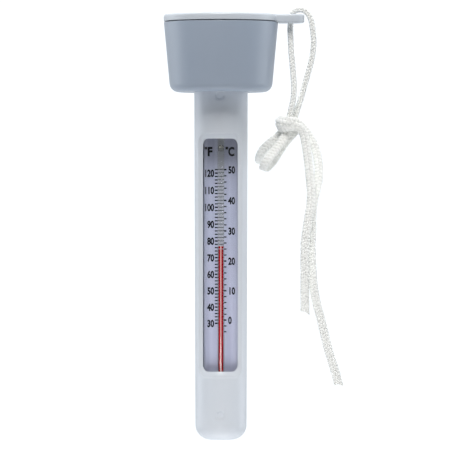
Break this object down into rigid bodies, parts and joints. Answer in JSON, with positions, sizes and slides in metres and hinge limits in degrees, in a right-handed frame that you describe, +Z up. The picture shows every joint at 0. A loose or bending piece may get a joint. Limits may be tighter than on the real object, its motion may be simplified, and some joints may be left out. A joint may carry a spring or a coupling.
{
  "type": "floating pool thermometer",
  "caption": "Tapered float with a tabbed lid and a hanging tube, whose window shows a spirit thermometer on a scale card in a clear capsule; a tied cord hangs from the tab.",
  "frame": {"origin": "on the tube's axis at the float's waterline", "axes": "+Z up along the tube's axis with the scale upright, -Y out of the window, +X towards the lid's tab"},
  "size_m": [0.089, 0.0574, 0.2166],
  "materials": {
    "lid_plastic": "moulded ABS, satin, pale grey",
    "float_plastic": "moulded ABS, satin, blue-grey",
    "tube_plastic": "moulded ABS, glossy, very pale blue-grey",
    "clear_plastic": "clear moulded polystyrene, polished",
    "stem_glass": "drawn glass with a faint yellow cast",
    "red_spirit": "red dyed spirit",
    "card": "printed card, grey-lavender, satin",
    "clip_steel": "thin plated steel band",
    "ballast_steel": "turned steel slug",
    "seal_rubber": "black nitrile rubber",
    "foam": "soft off-white pad",
    "cord_yarn": "braided off-white polyester cord"
  },
  "bodies": {
    "root": {"float_lid": "lid_plastic", "lid_seal": "seal_rubber", "float_cup": "float_plastic", "tube_housing": "tube_plastic", "flange_gasket": "seal_rubber", "housing_stopper": "float_plastic", "stopper_seal": "seal_rubber", "clear_capsule": "clear_plastic", "capsule_plug": "seal_rubber", "bulb_cushion": "foam", "scale_card": "card", "glass_stem": "stem_glass", "spirit_in_bulb": "red_spirit", "spirit_column": "red_spirit", "upper_clip": "clip_steel", "lower_clip": "clip_steel", "capsule_pad": "foam", "ballast_weight": "ballast_steel", "cord_strand_front": "cord_yarn", "cord_strand_back": "cord_yarn", "cord_bow_front": "cord_yarn", "cord_bow_back": "cord_yarn", "cord_tail_short": "cord_yarn", "cord_tail_long": "cord_yarn", "cord_knot": "cord_yarn"},
    "meniscus": {"spirit_meniscus": "red_spirit"}
  },
  "joints": [
    {"name": "spirit_level", "type": "slide", "parent": "root", "child": "meniscus", "axis": [0, 0, 1], "range_m": [-0.0385, 0.038], "deforming": ["spirit_column"]}
  ]
}
